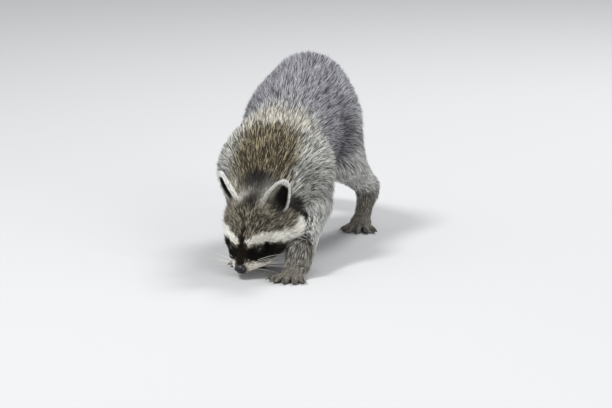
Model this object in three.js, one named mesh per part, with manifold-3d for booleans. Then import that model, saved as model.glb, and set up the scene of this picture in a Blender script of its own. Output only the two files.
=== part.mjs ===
// A raccoon foraging: it walks with its head down and its nose just over the ground, the left forepaw and
// the right hind paw forward. Millimetres, +Z up, nose towards -Y, the animal's left side on +X.
// The furry surface is one smooth field of blobs, sized out to the tips of the coat. Each part of the body
// is that field inside its own block, so neighbours meet face to face across a thin cut.
import * as THREE from "three";
import { mergeVertices } from "three/addons/utils/BufferGeometryUtils.js";
import Module from "manifold-3d";

const wasm = await Module();
wasm.setup();

// ---------- driving dimensions ----------
const BODY_HALF = 67; // half the width of the trunk
const RUMP_Z = 202; // height of the middle of the rump
const CHEST_Z = 142; // height of the middle of the chest
const CHEST_X = 9; // how far the chest swings to the animal's left
const HEAD_AT = [10, -189, 53]; // inside the head, a little behind the eyes
const HEAD_PITCH = 45; // degrees that the nose points below the horizon
const HEAD_YAW = 13; // degrees that the nose points to the animal's right
const EYE_AT = [19.5, 11, -1]; // in the head's frame: left, forward, up
const EYE_R = 7;
const NOSE_AT = [0, 44.5, -8.5];
const NOSE_R = [9.5, 7, 7];
const EAR_ROOT = [27.5, -42, 18.5];
const EAR_TIPS = { left: [63, -57, 69], right: [-47, -61.5, 69] };
const EAR_SIDES = { left: [0.82, 0.05, -0.57], right: [0.77, -0.43, -0.47] }; // from inner to outer edge
const EAR_HALF = 17.8;
const EAR_TAPER = 0.55; // how much narrower an ear is at its tip than at its root
const EAR_CUP = 9;
const EAR_THICK = 3.4;
const CLAW = 9;
const CUT = 0.4; // width of the cut between two parts
const EAR_GAP = 0.8; // room round the root of an ear
const LEG_GAP = 1.2; // width of the cut between a leg and the trunk
const BODY_CELL = 20; // size of the facets on the trunk, the neck and the tail
const HEAD_CELL = 9.5;
const LEG_CELL = 16;
const LEG_ROOM = 12; // room left round a leg while its surface is found

// ---------- the head's own frame: left, forward, up ----------
const pitch = THREE.MathUtils.degToRad(HEAD_PITCH);
const yaw = THREE.MathUtils.degToRad(HEAD_YAW);
const ahead = new THREE.Vector3(-Math.sin(yaw), -Math.cos(yaw), 0);
const headLeft = new THREE.Vector3(Math.cos(yaw), -Math.sin(yaw), 0);
const headForward = ahead.clone().multiplyScalar(Math.cos(pitch)).setZ(-Math.sin(pitch));
const headUp = ahead.clone().multiplyScalar(Math.sin(pitch)).setZ(Math.cos(pitch));
const headFrame = new THREE.Matrix4().makeBasis(headLeft, headForward, headUp).setPosition(...HEAD_AT);
const intoHead = headFrame.clone().invert();
const onHead = (place) => new THREE.Vector3(...place).applyMatrix4(headFrame);
const onSide = ([x, y, z], side) => [side * x, y, z];

// ---------- the field of blobs ----------
// A blob is an ellipsoid or a round cone. "blend" is how softly it runs into the blobs before it.
const ellipsoid = (at, r, blend, inHead = false) => ({ at, r, blend, inHead });
const cone = (a, ra, b, rb, blend, inHead = false) => ({ a, ra, b, rb, blend, inHead });

function ellipsoidDistance({ at, r }, p) {
  const q = [p.x - at[0], p.y - at[1], p.z - at[2]];
  const near = Math.hypot(...q.map((v, k) => v / r[k]));
  const slope = Math.hypot(...q.map((v, k) => v / r[k] ** 2));
  return slope < 1e-9 ? -Math.min(...r) : (near * (near - 1)) / slope;
}

function coneDistance({ a, ra, b, rb }, p) {
  const ab = new THREE.Vector3(b[0] - a[0], b[1] - a[1], b[2] - a[2]);
  const ap = new THREE.Vector3(p.x - a[0], p.y - a[1], p.z - a[2]);
  const t = THREE.MathUtils.clamp(ap.dot(ab) / ab.lengthSq(), 0, 1);
  return ap.addScaledVector(ab, -t).length() - THREE.MathUtils.lerp(ra, rb, t);
}

function field(blobs, p) {
  const q = p.clone().applyMatrix4(intoHead);
  let d = Infinity;
  for (const blob of blobs) {
    const place = blob.inHead ? q : p;
    const e = blob.r ? ellipsoidDistance(blob, place) : coneDistance(blob, place);
    const h = Math.max(blob.blend - Math.abs(d - e), 0) / blob.blend;
    d = Math.min(d, e) - (h * h * blob.blend) / 4;
  }
  return d;
}

// ---------- the animal's blobs ----------
const trunkBlobs = [
  ellipsoid([1, 150, RUMP_Z], [BODY_HALF + 2, 64, 78], 1),
  ellipsoid([0, 84, 182], [BODY_HALF + 2, 78, 74], 40),
  ellipsoid([4, 18, 160], [BODY_HALF + 4, 80, 66], 40),
  ellipsoid([3, 56, 148], [BODY_HALF - 10, 84, 56], 30),
  ellipsoid([40, 132, 170], [38, 52, 62], 30),
  ellipsoid([-40, 122, 168], [38, 54, 62], 30),
  ellipsoid([CHEST_X, -48, CHEST_Z], [BODY_HALF + 4, 66, 66], 40),
  ellipsoid([CHEST_X + 46, -60, 132], [38, 46, 50], 36),
  ellipsoid([CHEST_X - 40, -58, 132], [30, 46, 50], 36),
];
const neckBlobs = [
  ellipsoid([15, -98, 124], [62, 46, 55], 36),
  ellipsoid([16, -132, 104], [57, 40, 45], 30),
];
const headBlobs = [
  ellipsoid([0, -38, 9], [41, 42, 35], 24, true),
  ellipsoid([0, -4, 4], [30, 27, 19], 16, true),
  ellipsoid([34, -35, -12], [30, 29, 25], 14, true),
  ellipsoid([-32, -35, -12], [28, 29, 25], 14, true),
  cone([0, 4, -6], 18, [0, 35, -9.5], 12.5, 12, true),
  cone([0, -18, -23], 17, [0, 31, -17.5], 8.5, 10, true),
];
// On each side, the upper lip runs back and out into the jowl, and the jowl into the cheek.
for (const side of [1, -1]) {
  headBlobs.push(cone([side * 8, 32, -14], 10, [side * 18, 12, -17], 14, 8, true));
  headBlobs.push(cone([side * 18, 12, -17], 14, [side * 31, -10, -17], 19, 8, true));
}
// Each leg by its joints, from the body down: [place, radius]. "turn" is the way the toes point, in degrees
// to the animal's left; "heel" and "ball" are the two ends of the foot's sole.
const LEGS = {
  foreleg_left: {
    top: [[52, -62, 132], 42],
    knee: [[70, -72, 88], 29],
    ankle: [[79, -166, 36], 20],
    paw: { name: "forepaw_left", heel: [[78, -177, 17], 15], ball: [[76, -196, 10], 13], turn: -4, toe: 28 },
  },
  foreleg_right: {
    top: [[-32, -60, 132], 38],
    knee: [[-36, -38, 88], 29],
    ankle: [[-16, -82, 36], 19],
    paw: { name: "forepaw_right", heel: [[-14, -91, 17], 15], ball: [[-12, -109, 10], 13], turn: 6, toe: 28 },
  },
  hindleg_left: {
    top: [[40, 138, 172], 44],
    knee: [[61, 130, 120], 33],
    ankle: [[72, 234, 62], 18],
    paw: { name: "hindpaw_left", heel: [[72, 234, 50], 15], ball: [[72, 194, 12], 14], turn: 8, toe: 25 },
  },
  hindleg_right: {
    top: [[-40, 118, 168], 46],
    knee: [[-56, 78, 112], 36],
    ankle: [[-50, 136, 38], 18],
    paw: { name: "hindpaw_right", heel: [[-50, 138, 16], 16], ball: [[-50, 82, 11], 14], turn: -8, toe: 27 },
  },
};
const legBlobs = ({ top, knee, ankle }) => [
  cone(top[0], top[1], knee[0], knee[1], 26),
  cone(knee[0], knee[1] - 2, ankle[0], ankle[1], 14),
];
// The tail's middle line with its radius, from the rump to the tip.
const TAIL = [
  [[0, 192, 216], 31],
  [[-6, 246, 164], 31],
  [[-24, 296, 120], 33],
  [[-52, 338, 90], 32],
  [[-82, 368, 72], 26],
  [[-100, 384, 64], 17],
];
const tailBlobs = TAIL.slice(1).map(([end, r], i) => cone(TAIL[i][0], TAIL[i][1], end, r, i ? 10 : 30));
const bodyBlobs = [...trunkBlobs, ...neckBlobs, ...headBlobs];

// ---------- surfaces from the field ----------
const CORNERS = [0, 1, 2, 3, 4, 5, 6, 7].map((c) => [c & 1, (c >> 1) & 1, (c >> 2) & 1]);
const EDGES = CORNERS.flatMap((_, i) => [1, 2, 4].filter((bit) => !(i & bit)).map((bit) => [i, i | bit]));
// For an edge along each axis, the steps back to the four cells round it, in turn.
const RINGS = [
  { step: [1, 0, 0], cells: [[0, 0, 0], [0, 1, 0], [0, 1, 1], [0, 0, 1]] },
  { step: [0, 1, 0], cells: [[0, 0, 0], [0, 0, 1], [1, 0, 1], [1, 0, 0]] },
  { step: [0, 0, 1], cells: [[0, 0, 0], [1, 0, 0], [1, 1, 0], [0, 1, 0]] },
];
const SLOPE_STEP = 0.05;
const SETTLING_ROUNDS = 3;

// Moves a point along the field's slope towards where the field is nought.
function settle(p, f, furthest) {
  const d = f(p);
  const slope = new THREE.Vector3();
  for (const axis of ["x", "y", "z"]) {
    const beside = p.clone();
    beside[axis] += SLOPE_STEP;
    slope[axis] = (f(beside) - d) / SLOPE_STEP;
  }
  p.addScaledVector(slope, -THREE.MathUtils.clamp(d, -furthest, furthest) / Math.max(slope.lengthSq(), 0.3));
}

// A closed mesh of f = 0 between the corners lo and hi, on cells of the given size, one vertex to a cell.
function surface(f, lo, hi, size) {
  const count = lo.map((v, k) => Math.ceil((hi[k] - v) / size) + 1);
  const index = (x, y, z) => (z * count[1] + y) * count[0] + x;
  const spot = (cell) => new THREE.Vector3(...cell.map((v, k) => lo[k] + v * size));
  const value = new Float64Array(count[0] * count[1] * count[2]);
  const each = (less, visit) => {
    for (let z = 0; z < count[2] - less; z++)
      for (let y = 0; y < count[1] - less; y++) for (let x = 0; x < count[0] - less; x++) visit(x, y, z);
  };
  each(0, (x, y, z) => {
    const onRim = [x, y, z].some((v, k) => v === 0 || v === count[k] - 1);
    value[index(x, y, z)] = onRim ? size : f(spot([x, y, z]));
  });
  // Each cell gets one vertex for each separate lump of its inside corners.
  const places = [];
  const vertexOf = new Map();
  each(1, (x, y, z) => {
    const v = CORNERS.map(([a, b, c]) => value[index(x + a, y + b, z + c)]);
    const crossed = EDGES.filter(([a, b]) => v[a] < 0 !== v[b] < 0);
    const lump = CORNERS.map((corner, i) => i);
    for (let round = 0; round < 4; round++)
      for (const [a, b] of EDGES) if (v[a] < 0 && v[b] < 0) lump[a] = lump[b] = Math.min(lump[a], lump[b]);
    for (const one of new Set(crossed.map(([a, b]) => lump[v[a] < 0 ? a : b]))) {
      const mine = crossed.filter(([a, b]) => lump[v[a] < 0 ? a : b] === one);
      const middle = new THREE.Vector3();
      for (const [a, b] of mine) {
        const t = v[a] / (v[a] - v[b]);
        const [from, to] = [CORNERS[a], CORNERS[b]];
        middle.add(spot([x, y, z].map((w, k) => w + from[k] + (to[k] - from[k]) * t)));
        vertexOf.set(index(x, y, z) * 8 + (v[a] < 0 ? a : b), places.length);
      }
      places.push(middle.divideScalar(mine.length));
    }
  });
  const inner = (p) => p.toArray().every((v, k) => v > lo[k] + size && v < lo[k] + (count[k] - 2) * size);
  for (let round = 0; round < SETTLING_ROUNDS; round++)
    places.filter(inner).forEach((p) => settle(p, f, size / 3));
  const faces = [];
  each(1, (x, y, z) => {
    for (const { step, cells } of RINGS) {
      const a = value[index(x, y, z)] < 0;
      const b = value[index(x + step[0], y + step[1], z + step[2])] < 0;
      if (a === b) continue;
      const far = a ? [0, 0, 0] : step;
      const corner = ([i, j, k]) => i + far[0] + 2 * (j + far[1]) + 4 * (k + far[2]);
      const quad = cells.map((cell) => {
        const [i, j, k] = cell;
        return vertexOf.get(index(x - i, y - j, z - k) * 8 + corner(cell));
      });
      if (b) quad.reverse();
      const [p, q, r, s] = quad;
      const shortcut = places[p].distanceTo(places[r]) < places[q].distanceTo(places[s]);
      faces.push(...(shortcut ? [p, q, r, p, r, s] : [q, r, s, q, s, p]));
    }
  });
  return new THREE.BufferGeometry()
    .setAttribute("position", new THREE.Float32BufferAttribute(places.flatMap((p) => p.toArray()), 3))
    .setIndex(faces);
}

// ---------- solids ----------
function solid(geometry, placed = new THREE.Matrix4()) {
  const bare = new THREE.BufferGeometry().setAttribute("position", geometry.attributes.position.clone());
  bare.setIndex(geometry.index).applyMatrix4(placed);
  const merged = mergeVertices(bare, 1e-4);
  const vertProperties = new Float32Array(merged.attributes.position.array);
  const triVerts = new Uint32Array(merged.index.array);
  // The head's frame is a mirroring one, which turns each face round.
  if (placed.determinant() < 0) triVerts.reverse();
  return new wasm.Manifold(new wasm.Mesh({ numProp: 3, vertProperties, triVerts }));
}

function geometryOf(made) {
  const { vertProperties, triVerts } = made.getMesh();
  return new THREE.BufferGeometry()
    .setAttribute("position", new THREE.BufferAttribute(vertProperties, 3))
    .setIndex(new THREE.BufferAttribute(triVerts, 1))
    .toNonIndexed();
}

const union = (solids) => solids.reduce((whole, piece) => whole.add(piece));

// The matrix that stands a shape's own Z axis along "dir" at "at".
function along(at, dir) {
  const turn = new THREE.Quaternion().setFromUnitVectors(new THREE.Vector3(0, 0, 1), dir.clone().normalize());
  return new THREE.Matrix4().compose(at, turn, new THREE.Vector3(1, 1, 1));
}

// A box that starts at the plane through "at" and runs "depth" along "dir"; "back" moves its first face back.
function slab(at, dir, across, depth, back = 0) {
  const middle = at.clone().addScaledVector(dir.clone().normalize(), (depth - back) / 2);
  return solid(new THREE.BoxGeometry(across, across, depth + back), along(middle, dir));
}

function ball(at, r, wide, high) {
  const place = new THREE.Matrix4().makeTranslation(...at).scale(new THREE.Vector3(...r));
  return solid(new THREE.SphereGeometry(1, wide, high), place);
}

// A round bar from a to b.
function bar(a, b, r, wide = 5) {
  const [from, to] = [new THREE.Vector3(...a), new THREE.Vector3(...b)];
  const dir = to.clone().sub(from);
  const flat = new THREE.Matrix4().makeRotationX(Math.PI / 2);
  const middle = from.add(to).divideScalar(2);
  return solid(new THREE.CapsuleGeometry(r, dir.length(), 1, wide), along(middle, dir).multiply(flat));
}

// ---------- cuts between the parts ----------
const WORLD = 900;
const NECK_CUT = { at: onHead([0, -60, 0]), dir: headForward };
const SHOULDER_CUT = { at: new THREE.Vector3(CHEST_X, -92, 124), dir: new THREE.Vector3(0.04, -0.86, -0.5) };
const RUMP_CUT = { at: new THREE.Vector3(0, 214, 190), dir: new THREE.Vector3(-0.05, 0.92, -0.38) };
const keep = (piece, { at, dir }) => piece.intersect(slab(at, dir, WORLD, WORLD));
const drop = (piece, { at, dir }) => piece.subtract(slab(at, dir, WORLD, WORLD, CUT));

// ---------- ears ----------
// A leaf of skin rolled into a cup: "t" runs from its root to its tip and "s" from edge to edge.
function ear(hand, grow) {
  const side = hand === "left" ? 1 : -1;
  const root = onHead(onSide(EAR_ROOT, side));
  const up = onHead(EAR_TIPS[hand]).sub(root);
  const height = up.length() + 2 * grow;
  up.normalize();
  const across = new THREE.Vector3(...onSide(EAR_SIDES[hand], side)).transformDirection(headFrame);
  across.addScaledVector(up, -across.dot(up)).normalize();
  const front = new THREE.Vector3().crossVectors(across, up).multiplyScalar(side);
  const leaf = new THREE.SphereGeometry(1, 16, 9);
  const spots = leaf.attributes.position;
  for (let i = 0; i < spots.count; i++) {
    const [x, y, z] = [spots.getX(i), spots.getY(i), spots.getZ(i)];
    const ring = Math.max(Math.hypot(x, z), 1e-6);
    const t = (y + 1) / 2;
    const girth = Math.max(1 - y * y, 0) ** 0.36;
    const s = x / ring;
    const wide = (EAR_HALF * (1 + EAR_TAPER * (0.5 - t)) + grow) * girth * s;
    const deep = EAR_CUP * (s * s * girth * girth - 0.7) * (1 - 0.35 * t);
    const thick = (EAR_THICK / 2 + grow) * (z / ring) * Math.min(girth * 1.4, 1);
    const place = root.clone().addScaledVector(up, height * t - grow);
    place.addScaledVector(across, wide).addScaledVector(front, deep + thick);
    spots.setXYZ(i, place.x, place.y, place.z);
  }
  if (side < 0) leaf.setIndex([...leaf.index.array].reverse());
  return solid(leaf);
}

// ---------- paws ----------
const SOLE = slab(new THREE.Vector3(0, 0, 0), new THREE.Vector3(0, 0, -1), WORLD, WORLD);
const TOES = [
  { fan: -40, out: 0.72, aside: -0.75 },
  { fan: -19, out: 0.95, aside: -0.42 },
  { fan: 0, out: 1, aside: 0 },
  { fan: 18, out: 0.95, aside: 0.42 },
  { fan: 38, out: 0.76, aside: 0.75 },
];
const TOE_R = 5;
const PAD_SPREAD = 1.08; // the pad's width over its radius
const CLAW_R = 2;
const CLAW_DROP = 0.28; // how steeply a claw points down

function paw({ ankle, paw: { heel, ball: pad, turn, toe } }) {
  const pieces = [bar(ankle[0], heel[0], ankle[1] - 1, 8), bar(heel[0], pad[0], pad[1] - 1.5, 6)];
  const width = pad[1] * PAD_SPREAD;
  pieces.push(ball(pad[0], [width * 1.12, width, pad[0][2] * 1.02], 9, 5));
  for (const { fan, out, aside } of TOES) {
    const way = THREE.MathUtils.degToRad(turn + fan);
    const dir = [Math.sin(way), -Math.cos(way)];
    const root = [pad[0][0] + aside * width, pad[0][1] - width * 0.3, pad[0][2] * 0.8];
    const tip = [root[0] + dir[0] * toe * out, root[1] + dir[1] * toe * out, TOE_R - 0.5];
    pieces.push(bar(root, tip, TOE_R));
    const point = new THREE.Vector3(dir[0], dir[1], -CLAW_DROP);
    const from = new THREE.Vector3(...tip).addScaledVector(point, CLAW / 2 + TOE_R * 0.6);
    from.z += 1;
    const stand = new THREE.Matrix4().makeRotationX(Math.PI / 2);
    pieces.push(solid(new THREE.ConeGeometry(CLAW_R, CLAW, 4), along(from, point).multiply(stand)));
  }
  return union(pieces).subtract(SOLE);
}

// ---------- the parts ----------
const LOOKS = {
  back: { color: 0x8f8e90, roughness: 0.95 },
  pale: { color: 0xa7a79d, roughness: 0.95 },
  face: { color: 0x5c564c, roughness: 0.95 },
  limb: { color: 0x7c7f72, roughness: 0.95 },
  ring: { color: 0x3a3531, roughness: 0.95 },
  leather: { color: 0x191714, roughness: 0.45 },
  eye: { color: 0x0c0908, roughness: 0.08 },
};
const raccoon = new THREE.Group();

function add(name, made, finish) {
  const look = new THREE.MeshStandardMaterial({ metalness: 0, ...LOOKS[finish] });
  const mesh = new THREE.Mesh(geometryOf(made), look);
  mesh.name = name;
  raccoon.add(mesh);
}

// The body without its legs, and the same a little larger, which the legs are cut back to.
const BODY_BOX = [[-132, -250, -10], [150, 418, 300]];
const bodyField = (p) => field([...bodyBlobs, ...tailBlobs], p);
const body = solid(surface(bodyField, ...BODY_BOX, BODY_CELL));
const bodyGrown = solid(surface((p) => bodyField(p) - LEG_GAP, ...BODY_BOX, BODY_CELL));

const TAIL_CUTS = [1, 3].map((i) => ({
  at: new THREE.Vector3(...TAIL[i][0]).lerp(new THREE.Vector3(...TAIL[i + 1][0]), 0.3),
  dir: new THREE.Vector3(...TAIL[i + 1][0]).sub(new THREE.Vector3(...TAIL[i][0])),
}));
add("trunk", drop(drop(body, SHOULDER_CUT), RUMP_CUT), "back");
add("neck", drop(keep(body, SHOULDER_CUT), NECK_CUT), "pale");
const tail = keep(body, RUMP_CUT);
add("tail_base", drop(tail, TAIL_CUTS[0]), "back");
add("tail_middle", drop(keep(tail, TAIL_CUTS[0]), TAIL_CUTS[1]), "ring");
add("tail_tip", keep(tail, TAIL_CUTS[1]), "ring");

const HEAD_BOX = [[-75, -240, -6], [100, -110, 130]];
const headField = (p) => field(bodyBlobs, p);
const headGrown = solid(surface((p) => headField(p) - LEG_GAP, ...HEAD_BOX, HEAD_CELL));
let head = keep(solid(surface(headField, ...HEAD_BOX, HEAD_CELL)), NECK_CUT);
const wider = (r) => r.map((v) => v + CUT);
const eyeRs = [EYE_R, EYE_R, EYE_R];
for (const hand of ["left", "right"]) {
  const eyeAt = onHead(onSide(EYE_AT, hand === "left" ? 1 : -1)).toArray();
  head = head.subtract(ball(eyeAt, wider(eyeRs), 10, 7)).subtract(ear(hand, EAR_GAP));
  add("eye_" + hand, ball(eyeAt, eyeRs, 10, 7), "eye");
  add("ear_" + hand, ear(hand, 0), "face");
}
const noseFrame = headFrame.clone().multiply(new THREE.Matrix4().makeTranslation(...NOSE_AT));
const noseShape = new THREE.SphereGeometry(1, 12, 8);
const nosePad = (r) => solid(noseShape, noseFrame.clone().scale(new THREE.Vector3(...r)));
head = head.subtract(nosePad(wider(NOSE_R)));
add("head", head, "face");
add("nose", nosePad(NOSE_R), "leather");

for (const [name, leg] of Object.entries(LEGS)) {
  const [knee, ankle, pad] = [leg.knee[0], leg.ankle[0], leg.paw.ball[0]].map((at) => new THREE.Vector3(...at));
  const down = ankle.clone().sub(knee).normalize().add(pad.sub(ankle).normalize());
  const anklePlane = { at: ankle, dir: down };
  const joints = [leg.top, leg.knee, leg.ankle];
  const reach = (way, k) => way * Math.max(...joints.map(([at, r]) => way * at[k] + r + LEG_ROOM));
  const [lo, hi] = [-1, 1].map((way) => [0, 1, 2].map((k) => reach(way, k)));
  const whole = solid(surface((p) => field(legBlobs(leg), p), lo, hi, LEG_CELL));
  add(name, drop(whole.subtract(bodyGrown).subtract(headGrown), anklePlane), "limb");
  add(leg.paw.name, keep(paw(leg), anklePlane), "leather");
}

// The frame's origin is on the floor, under the middle of the animal.
const box = new THREE.Box3().setFromObject(raccoon, true);
const middle = box.getCenter(new THREE.Vector3());
raccoon.position.set(-middle.x, -middle.y, -box.min.z);
const part = new THREE.Group();
part.add(raccoon);

export default part;
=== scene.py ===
"""A life-size raccoon, foraging with its head down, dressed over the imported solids.

All shapes are written in millimetres in the animal's own frame (nose towards -Y, its left on +X, floor at 0)
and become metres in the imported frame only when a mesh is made. The solids give the outline out to the tips of
the coat. Here the same blobs, each made smaller by the depth of its coat, give the skin, and tufts of solid
mesh grow from the skin out to the solids' surface.
"""

import math

import bpy
import numpy as np
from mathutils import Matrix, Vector
from mathutils.kdtree import KDTree


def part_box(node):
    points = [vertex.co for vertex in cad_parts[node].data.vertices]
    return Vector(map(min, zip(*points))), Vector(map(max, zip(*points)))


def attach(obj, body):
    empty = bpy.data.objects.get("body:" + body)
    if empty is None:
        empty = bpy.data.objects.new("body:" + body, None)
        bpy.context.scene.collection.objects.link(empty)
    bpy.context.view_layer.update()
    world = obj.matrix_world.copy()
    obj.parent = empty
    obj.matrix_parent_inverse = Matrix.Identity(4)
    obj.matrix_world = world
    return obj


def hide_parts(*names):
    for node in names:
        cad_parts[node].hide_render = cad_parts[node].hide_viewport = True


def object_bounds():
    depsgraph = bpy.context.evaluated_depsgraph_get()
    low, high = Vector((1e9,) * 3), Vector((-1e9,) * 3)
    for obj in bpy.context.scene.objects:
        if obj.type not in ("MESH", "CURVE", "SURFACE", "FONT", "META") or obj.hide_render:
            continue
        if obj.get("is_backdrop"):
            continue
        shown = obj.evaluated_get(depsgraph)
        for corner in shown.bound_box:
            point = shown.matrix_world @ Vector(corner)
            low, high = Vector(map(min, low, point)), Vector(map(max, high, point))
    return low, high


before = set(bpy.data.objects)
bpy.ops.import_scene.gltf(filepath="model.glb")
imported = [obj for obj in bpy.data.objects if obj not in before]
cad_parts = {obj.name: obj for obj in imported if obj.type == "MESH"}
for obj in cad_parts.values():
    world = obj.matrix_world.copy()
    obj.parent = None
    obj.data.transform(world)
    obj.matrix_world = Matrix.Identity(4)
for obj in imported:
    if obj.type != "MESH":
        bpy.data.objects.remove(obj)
cad_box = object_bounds()
MM = 0.001
rng = np.random.default_rng(11)


def vec(*values):
    return np.array(values, float)


def unit(v):
    return v / np.maximum(np.linalg.norm(v, axis=-1, keepdims=True), 1e-9)


def norm(v):
    """The length of each vector in an array of them."""
    return np.linalg.norm(v, axis=1)


def ramp(lo, hi, value):
    """From 0 at lo to 1 at hi, softened at both ends."""
    t = np.clip((value - lo) / (hi - lo), 0, 1)
    return t * t * (3 - 2 * t)


def mix(a, b, share):
    return a + (b - a) * share


# ---------- driving dimensions, as in the solids ----------
BODY_HALF = 67
RUMP_Z = 202
CHEST_Z = 142
CHEST_X = 9
HEAD_AT = vec(10, -189, 53)
HEAD_PITCH = math.radians(45)
HEAD_YAW = math.radians(13)
EYE_AT = vec(19.5, 11, -1)
EYE_R = 7
NOSE_AT = vec(0, 44.5, -8.5)
NOSE_R = vec(9.5, 7, 7)
EAR_ROOT = vec(27.5, -42, 18.5)
EAR_TIPS = {1: vec(63, -57, 69), -1: vec(-47, -61.5, 69)}
EAR_SIDES = {1: vec(0.82, 0.05, -0.57), -1: vec(-0.77, -0.43, -0.47)}  # from inner to outer edge
EAR_HALF = 17.8
EAR_TAPER = 0.55  # how much narrower an ear's tip is than its root
EAR_CUP = 9  # how deep an ear is cupped
TOE_R = 5
CLAW = 9  # a claw's reach
EARS = {"ear_left": 1, "ear_right": -1}  # the animal's left is side 1

# ---------- the head's own frame: left, forward, up ----------
ahead = vec(-math.sin(HEAD_YAW), -math.cos(HEAD_YAW), 0)
head_left = vec(math.cos(HEAD_YAW), -math.sin(HEAD_YAW), 0)
head_forward = ahead * math.cos(HEAD_PITCH) - vec(0, 0, math.sin(HEAD_PITCH))
head_up = ahead * math.sin(HEAD_PITCH) + vec(0, 0, math.cos(HEAD_PITCH))
HEAD_AXES = np.stack([head_left, head_forward, head_up])


def on_head(q):
    """From the head's frame to the animal's."""
    return HEAD_AT + np.asarray(q, float) @ HEAD_AXES


def into_head(p):
    return (p - HEAD_AT) @ HEAD_AXES.T


def on_side(q, side):
    return q * vec(side, 1, 1)


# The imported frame's origin, seen from the animal's own: the left eye is a ball in both.
eye_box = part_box("eye_left")
SHIFT = (vec(*eye_box[0]) + vec(*eye_box[1])) / 2 / MM - on_head(EYE_AT)
SHIFT[2] = 0


def to_metres(p):
    return (p + SHIFT) * MM


# ---------- the field of blobs ----------
# A blob is an ellipsoid or a round cone. "coat" is the depth of the hair over it, "blend" how softly it runs
# into the blobs before it.
def ellipsoid(at, r, coat, blend, head=False):
    return {"at": vec(*at), "r": vec(*r), "coat": coat, "blend": blend, "head": head}


def cone(a, ra, b, rb, coat, blend, head=False):
    return {"a": vec(*a), "ra": ra, "b": vec(*b), "rb": rb, "coat": coat, "blend": blend, "head": head}


def to_stretch(p, a, b):
    """The distance from each point to the stretch from a to b, and how far along it that is, from 0 to 1."""
    ab = b - a
    t = np.clip((p - a) @ ab / (ab @ ab), 0, 1)
    return norm(p - a - t[:, None] * ab), t


def blob_distance(blob, p, shrink):
    """The distance to a blob's surface, below 0 inside. A shrink of 1 takes its coat off, 0 leaves it on."""
    coat = blob["coat"] * shrink
    if "r" in blob:
        r = blob["r"] - coat
        q = p - blob["at"]
        near = norm(q / r)
        slope = norm(q / r**2)
        return np.where(slope < 1e-9, -r.min(), near * (near - 1) / np.maximum(slope, 1e-9))
    d, t = to_stretch(p, blob["a"], blob["b"])
    return d - mix(blob["ra"], blob["rb"], t) + coat


def blob_box(blob):
    """A box in the animal's frame that holds the blob."""
    if "r" in blob:
        lo, hi = blob["at"] - blob["r"], blob["at"] + blob["r"]
    else:
        lo = np.minimum(blob["a"] - blob["ra"], blob["b"] - blob["rb"])
        hi = np.maximum(blob["a"] + blob["ra"], blob["b"] + blob["rb"])
    if blob["head"]:
        middle, half = on_head((lo + hi) / 2), np.linalg.norm(hi - lo) / 2
        lo, hi = middle - half, middle + half
    return lo, hi


def soft_union(d, e, blend):
    h = np.maximum(blend - np.abs(d - e), 0) / blend
    return np.minimum(d, e) - h * h * blend / 4


def soft_cut(d, hole, blend):
    return -soft_union(-d, hole, blend)


def field(p, blobs, shrink):
    q = into_head(p)
    d = None
    for blob in blobs:
        e = blob_distance(blob, q if blob["head"] else p, shrink)
        d = e if d is None else soft_union(d, e, blob["blend"])
    return d


# ---------- the animal's blobs, coat included ----------
# Each is a centre and half sizes, or two ends with their radii, and then its coat's depth and its blend.
TRUNK = [
    ellipsoid([1, 150, RUMP_Z], [BODY_HALF + 2, 64, 78], 21, 1),
    ellipsoid([0, 84, 182], [BODY_HALF + 2, 78, 74], 20, 40),
    ellipsoid([4, 18, 160], [BODY_HALF + 4, 80, 66], 19, 40),
    ellipsoid([3, 56, 148], [BODY_HALF - 10, 84, 56], 14, 30),
    ellipsoid([40, 132, 170], [38, 52, 62], 13, 30),
    ellipsoid([-40, 122, 168], [38, 54, 62], 13, 30),
    ellipsoid([CHEST_X, -48, CHEST_Z], [BODY_HALF + 4, 66, 66], 18, 40),
    ellipsoid([CHEST_X + 46, -60, 132], [38, 46, 50], 15, 36),
    ellipsoid([CHEST_X - 40, -58, 132], [30, 46, 50], 14, 36),
]
NECK = [
    ellipsoid([15, -98, 124], [62, 46, 55], 17, 36),
    ellipsoid([16, -132, 104], [57, 40, 45], 15, 30),
]
HEAD = [
    ellipsoid([0, -38, 9], [41, 42, 35], 7, 24, True),
    ellipsoid([0, -4, 4], [30, 27, 19], 3.2, 16, True),
    ellipsoid([34, -35, -12], [30, 29, 25], 11, 14, True),
    ellipsoid([-32, -35, -12], [28, 29, 25], 11, 14, True),
    cone([0, 4, -6], 18, [0, 35, -9.5], 12.5, 2.2, 12, True),
    cone([0, -18, -23], 17, [0, 31, -17.5], 8.5, 2.2, 10, True),
]
for side in (1, -1):
    HEAD.append(cone([side * 8, 32, -14], 10, [side * 18, 12, -17], 14, 2.5, 8, True))
    HEAD.append(cone([side * 18, 12, -17], 14, [side * 31, -10, -17], 19, 7, 8, True))
# Each leg's joints with their radii; its paw's name, heel, pad, heading in degrees and toes' length.
LEGS = {
    "foreleg_left": {
        "top": ([52, -62, 132], 42),
        "knee": ([70, -72, 88], 29),
        "ankle": ([79, -166, 36], 20),
        "paw": ("forepaw_left", ([78, -177, 17], 15), ([76, -196, 10], 13), -4, 28),
    },
    "foreleg_right": {
        "top": ([-32, -60, 132], 38),
        "knee": ([-36, -38, 88], 29),
        "ankle": ([-16, -82, 36], 19),
        "paw": ("forepaw_right", ([-14, -91, 17], 15), ([-12, -109, 10], 13), 6, 28),
    },
    "hindleg_left": {
        "top": ([40, 138, 172], 44),
        "knee": ([61, 130, 120], 33),
        "ankle": ([72, 234, 62], 18),
        "paw": ("hindpaw_left", ([72, 234, 50], 15), ([72, 194, 12], 14), 8, 25),
    },
    "hindleg_right": {
        "top": ([-40, 118, 168], 46),
        "knee": ([-56, 78, 112], 36),
        "ankle": ([-50, 136, 38], 18),
        "paw": ("hindpaw_right", ([-50, 138, 16], 16), ([-50, 82, 11], 14), -8, 27),
    },
}
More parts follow.
